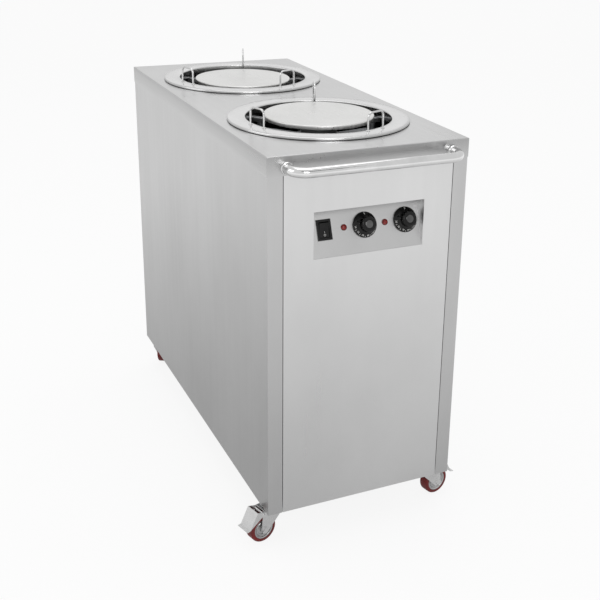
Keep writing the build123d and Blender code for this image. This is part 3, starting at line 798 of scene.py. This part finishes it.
def make_knobs():
    """Each knob, its printed scale and its metal cap, all on one dial."""
    cap = outline([(8.2, 23.95), (8.2, 24.4), (7.0, 24.75), (3.0, 24.4), (1.0, 24.2)])
    places = [on_fascia(x, knob_lift) for x in knob_places.values()]
    for side, piece in zip(knob_places, spread_out(knob_shape(), "heat_knob", places)):
        dress(piece, side + "_dial", "knob_black", finishes["knob"], side + "_knob")
    for side, piece in zip(knob_places, spread_out(scale_marks(), "knob_scale", places)):
        dress(piece, side + "_dial", "knob_black", finishes["mark"])
    model = turned("knob_cap", cap, steps=48)
    for side, piece in zip(knob_places, spread_out(model, "knob_cap", places)):
        dress(piece, side + "_dial", "knob_black", finishes["cap"])


def make_switch():
    """A rocker with two sloping faces, its lower half pressed in, and I and O on that half."""
    height = rocker_front - rocker_back
    fresh()
    bpy.ops.mesh.primitive_cube_add(size=1, location=(0, 0, (rocker_front + rocker_back) / 2))
    piece = bpy.context.view_layer.objects.active
    piece.scale = (rocker_width, 2 * rocker_half, height)
    bpy.ops.object.transform_apply(location=True, scale=True)
    bpy.ops.object.mode_set(mode="EDIT")
    bpy.ops.mesh.select_all(action="SELECT")
    bpy.ops.mesh.bisect(plane_co=(0, 0, 0), plane_no=(0, 1, 0))
    bpy.ops.object.mode_set(mode="OBJECT")
    for vertex in piece.data.vertices:
        vertex.select = abs(vertex.co.y) < 0.1 * mm and vertex.co.z > 0
    bpy.ops.object.mode_set(mode="EDIT")
    bpy.ops.mesh.select_mode(type="VERT")
    bpy.ops.transform.translate(value=(0, 0, -rocker_half * sin(rocker_swing)))
    bpy.ops.object.mode_set(mode="OBJECT")
    soften(piece, rocker_round)
    swing = Matrix.Rotation(rocker_swing, 4, "X")
    place = on_fascia(switch_place, -rocker_pivot) @ swing @ moved(0, 0, rocker_pivot)
    fresh()
    bpy.context.view_layer.objects.active = piece
    finish_piece("rocker_cap", place)
    dress(piece, "rocker", "black_plastic", finishes["black"], "switch_rocker")
    for name, (sign, up) in sign_places.items():
        place = on_fascia(switch_place, sign_lift) @ moved(0, up, 0)
        mark = lettering(name, sign, sign_size, sign_thickness, place)
        dress(mark, "rocker", "black_plastic", finishes["mark"])


def make_lamps():
    """A plain red rim with an eight-sided red lens in it."""
    rim = outline([(6.6, 0), (6.6, 1.4), (6.1, 2.0), (5.5, 2.0), (5.1, 1.3)])
    lens = outline([(5.15, 0.9), (5.1, 1.7), (3.2, 2.8), (1.1, 3.2)])
    places = [on_fascia(x) for x in lamp_places]
    for piece in spread_out(turned("lamp_rim", rim, steps=40), "lamp_rim", places):
        dress(piece, "cabinet", "lamp_red", finishes["lamp rim"], "indicator_lamps")
    model = turned("lamp_lens", lens, steps=8, smooth=5)
    for piece in spread_out(model, "lamp_lens", places):
        dress(piece, "cabinet", "lamp_red", finishes["lens"], "indicator_lamps")


def tread_shape():
    """A rounded tread with a fine moulding seam round its middle."""
    side = wheel_radius - tread_shoulder
    profile = [(tread_bore, -tread_half), (side, -tread_half)]
    profile += rounded_corner(side, tread_shoulder - tread_half, tread_shoulder, -75, 0)
    profile += [(wheel_radius, -seam_half), (wheel_radius - seam_depth, -seam_floor_half)]
    profile += [(wheel_radius - seam_depth, seam_floor_half), (wheel_radius, seam_half)]
    profile += rounded_corner(side, tread_half - tread_shoulder, tread_shoulder, 0, 75)
    profile += [(side, tread_half), (tread_bore, tread_half), (tread_bore, -tread_half)]
    return turned("tread", profile, steps=96, close=True)


def hub_shape():
    """A wheel centre with a raised boss and a ribbed dish on both faces."""
    face = outline([
        (4.1, 13.7), (7.6, 13.7), (8.6, 13.2), (9.0, 12.4), (9.2, 8.9), (10.4, 8.5), (13.6, 8.5),
        (14.3, 9.0), (14.8, 10.4), (15.6, 10.8), (17.2, 10.8), (18.0, 10.2), (18.6, 8.9), (19.6, 8.6),
        (20.4, 9.0), (21.2, 11.2), (22.0, 11.8), (24.0, 11.9), (24.5, 11.4),
    ])
    profile = face + [(radius, -height) for radius, height in reversed(face)] + [face[0]]
    return turned("hub", profile, steps=72, close=True)


def make_wheels():
    """A red tread and a grey centre for each caster, turned to its heading."""
    tread = tread_shape()
    hub = hub_shape()
    places = []
    for corner, heading in caster_headings.items():
        low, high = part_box(corner + "_tread")
        places.append(Matrix.Translation((low + high) / 2) @ turn_z(heading) @ turn_x(90))
    for corner, piece in zip(caster_headings, spread_out(tread, "wheel_tread", places)):
        dress(piece, corner + "_wheel", "tread_red", finishes["tread"], corner + "_tread")
    for corner, piece in zip(caster_headings, spread_out(hub, "wheel_centre", places)):
        dress(piece, corner + "_wheel", "hub_grey", finishes["hub"], corner + "_hub")


def spring_shape(length):
    """A wire wound up to a length, with its two ends closed."""
    fresh()
    bpy.ops.mesh.primitive_circle_add(
        vertices=spring_sides,
        radius=spring_wire,
        location=(spring_radius, 0, 0),
        rotation=(radians(90), 0, 0),
    )
    coil = bpy.context.view_layer.objects.active
    bpy.ops.object.transform_apply(location=True, rotation=True)
    winding = coil.modifiers.new("Winding", "SCREW")
    winding.axis = "Z"
    winding.angle = 2 * pi
    winding.screw_offset = (length - 2 * spring_end) / spring_turns
    winding.iterations = spring_turns
    winding.steps = spring_steps
    winding.render_steps = spring_steps
    bpy.ops.object.modifier_apply(modifier=winding.name)
    bpy.ops.object.mode_set(mode="EDIT")
    bpy.ops.mesh.select_all(action="SELECT")
    bpy.ops.mesh.fill_holes(sides=0)
    mend_mesh(1e-7)
    return finish_piece("spring")


def make_springs():
    """Wound springs round the guide rods, each as long as its CAD spring set."""
    for side, well in wells.items():
        low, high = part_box(side + "_springs")
        foot = moved(0, well["y"], low[2] + spring_end)
        places = [foot @ turn_z(angle) @ moved(spring_circle, 0, 0) for angle in spring_angles]
        model = spring_shape(high[2] - low[2])
        for piece in spread_out(model, side + "_wound_spring", places):
            coat(piece, finishes["dark"])
            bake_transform(piece)
            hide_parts(side + "_springs")


def make_screws():
    """Round heads in two rows of three on the rear panel."""
    low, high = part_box("panel_screws")
    head = outline([(4.2, 0), (4.2, 0.5), (3.8, 1.3), (2.9, 1.9), (1.8, 2.2)])
    model = turned("screw", head, steps=32)
    places = []
    for x in (low[0] + screw_radius, high[0] - screw_radius):
        for z in (low[2] + screw_radius, (low[2] + high[2]) / 2, high[2] - screw_radius):
            places.append(moved(x, low[1], z) @ turn_x(-90))
    for piece in spread_out(model, "panel_screw", places):
        dress(piece, "cabinet", "screw_steel", finishes["wire"], "panel_screws")


make_rings()
make_platforms()
make_guides()
make_handle()
make_knobs()
make_switch()
make_lamps()
make_wheels()
make_springs()
make_screws()


# Camera, light and floor

floor_size = 30
floor_drop = 0.6 * mm
floor_seen_share = 0.88
floor_mirrored_share = 0.8
# Painted shade that only metal mirrors: the floor glows dimmer near the cabinet
floor_near = 0.45
floor_near_strength = 0.52
floor_far = 2.6
floor_far_strength = 1.02
world_strength = 0.74


def make_camera():
    """The photograph's view, with its slight roll and its shifted middle."""
    az, el, roll = map(radians, (camera_azimuth, camera_elevation, camera_roll))
    ahead = Vector((-sin(az) * cos(el), cos(az) * cos(el), -sin(el)))
    right = Vector((cos(az), sin(az), 0))
    up = right.cross(ahead)
    tilted_right = right * cos(roll) + up * sin(roll)
    tilted_up = up * cos(roll) - right * sin(roll)
    turn = Matrix((tilted_right, tilted_up, -ahead)).transposed().to_4x4()
    data = bpy.data.cameras.new("Camera")
    data.sensor_width = 36.0
    data.lens = data.sensor_width * focal_pixels / image_size
    data.shift_x = (image_size / 2 - middle_x) / image_size
    data.shift_y = (middle_y - image_size / 2) / image_size
    camera = bpy.data.objects.new("Camera", data)
    bpy.context.scene.collection.objects.link(camera)
    camera.matrix_world = Matrix.Translation(Vector(camera_place)) @ turn
    bpy.context.scene.camera = camera


def blended(tree, share, one, other):
    """One shader, with a share of another over it."""
    mix = tree.nodes.new("ShaderNodeMixShader")
    tree.links.new(share, mix.inputs["Fac"])
    tree.links.new(one, mix.inputs[1])
    tree.links.new(other, mix.inputs[2])
    return mix.outputs["Shader"]


def make_floor():
    """White to the camera apart from a faint shadow; metal mirrors it with a painted shade, darker
    near the cabinet.
    """
    fresh()
    bpy.ops.mesh.primitive_plane_add(size=floor_size, location=(0, 0, -floor_drop))
    floor = bpy.context.view_layer.objects.active
    floor.name = "floor"
    material, tree, principled = shader("Floor", grey(0.86), 0.9)
    rays = tree.nodes.new("ShaderNodeLightPath")
    white = tree.nodes.new("ShaderNodeEmission")
    place = tree.nodes.new("ShaderNodeTexCoord")
    distance = tree.nodes.new("ShaderNodeVectorMath")
    distance.operation = "LENGTH"
    tree.links.new(place.outputs["Object"], distance.inputs[0])
    fade = tree.nodes.new("ShaderNodeMapRange")
    fade.inputs["From Min"].default_value = floor_near
    fade.inputs["From Max"].default_value = floor_far
    fade.inputs["To Min"].default_value = floor_near_strength
    fade.inputs["To Max"].default_value = floor_far_strength
    tree.links.new(distance.outputs["Value"], fade.inputs["Value"])
    # Painted shade: glow seen only in reflections, dimmer near the cabinet
    mirrored_painted_shade = tree.nodes.new("ShaderNodeEmission")
    tree.links.new(fade.outputs["Result"], mirrored_painted_shade.inputs["Strength"])
    seen = weighed(tree, rays.outputs["Is Camera Ray"], floor_seen_share)
    glossy = weighed(tree, rays.outputs["Is Glossy Ray"], floor_mirrored_share)
    first = blended(tree, seen, principled.outputs["BSDF"], white.outputs["Emission"])
    second = blended(tree, glossy, first, mirrored_painted_shade.outputs["Emission"])
    tree.links.new(second, tree.nodes["Material Output"].inputs["Surface"])
    floor.data.materials.append(material)


def make_world():
    """White to the camera and a soft even light on the object."""
    world = bpy.data.worlds.new("Studio")
    world.use_nodes = True
    tree = world.node_tree
    light = tree.nodes["Background"]
    light.inputs["Color"].default_value = (1, 1, 1, 1)
    light.inputs["Strength"].default_value = world_strength
    backdrop = tree.nodes.new("ShaderNodeBackground")
    backdrop.inputs["Color"].default_value = (1, 1, 1, 1)
    seen = tree.nodes.new("ShaderNodeLightPath").outputs["Is Camera Ray"]
    sky = blended(tree, seen, light.outputs["Background"], backdrop.outputs["Background"])
    tree.links.new(sky, tree.nodes["World Output"].inputs["Surface"])
    bpy.context.scene.world = world


def aimed(place, aim):
    """The turn that points something at a spot."""
    return (Vector(aim) - Vector(place)).to_track_quat("-Z", "Y")


def dark_card(name, place, aim, width, height):
    """A dark strip outside the picture that only bright metal and gloss mirror."""
    fresh()
    bpy.ops.mesh.primitive_plane_add(size=1)
    card = bpy.context.view_layer.objects.active
    card.name = name.replace(" ", "_")
    card.scale = (width, height, 1)
    bpy.ops.object.transform_apply(scale=True)
    card.matrix_world = Matrix.Translation(place) @ aimed(place, aim).to_matrix().to_4x4()
    bpy.ops.object.transform_apply(location=True, rotation=True, scale=True)
    card.data.materials.append(shader(name, grey(0.02), 0.9)[0])
    card.visible_camera = False
    card.visible_shadow = False
    card.visible_diffuse = False


def soft_light(name, place, aim, width, height, power):
    """A rectangular lamp that faces a spot."""
    data = bpy.data.lights.new(name, "AREA")
    data.shape = "RECTANGLE"
    data.size = width
    data.size_y = height
    data.energy = power
    lamp = bpy.data.objects.new(name, data)
    bpy.context.scene.collection.objects.link(lamp)
    lamp.location = place
    lamp.rotation_euler = aimed(place, aim).to_euler()


make_camera()
make_floor()
make_world()
dark_card("Upper card", (-0.3, -2.6, 2.9), (0, -0.5, 0.86), 3.2, 0.5)
soft_light("Rear softbox", (1.5, 3.8, 2.6), (0, 0, 0.8), 2.6, 2.0, 4)
soft_light("Overhead softbox", (0.2, 0.4, 3.4), (0, 0, 0.4), 2.0, 2.0, 16)
soft_light("Front softbox", (-0.6, -3.6, 2.4), (0, -0.3, 0.5), 1.6, 1.0, 22)
soft_light("Left softbox", (-3.4, 0.4, 2.2), (0, 0, 0.5), 2.2, 2.2, 14)
bpy.context.scene.view_settings.view_transform = "Standard"
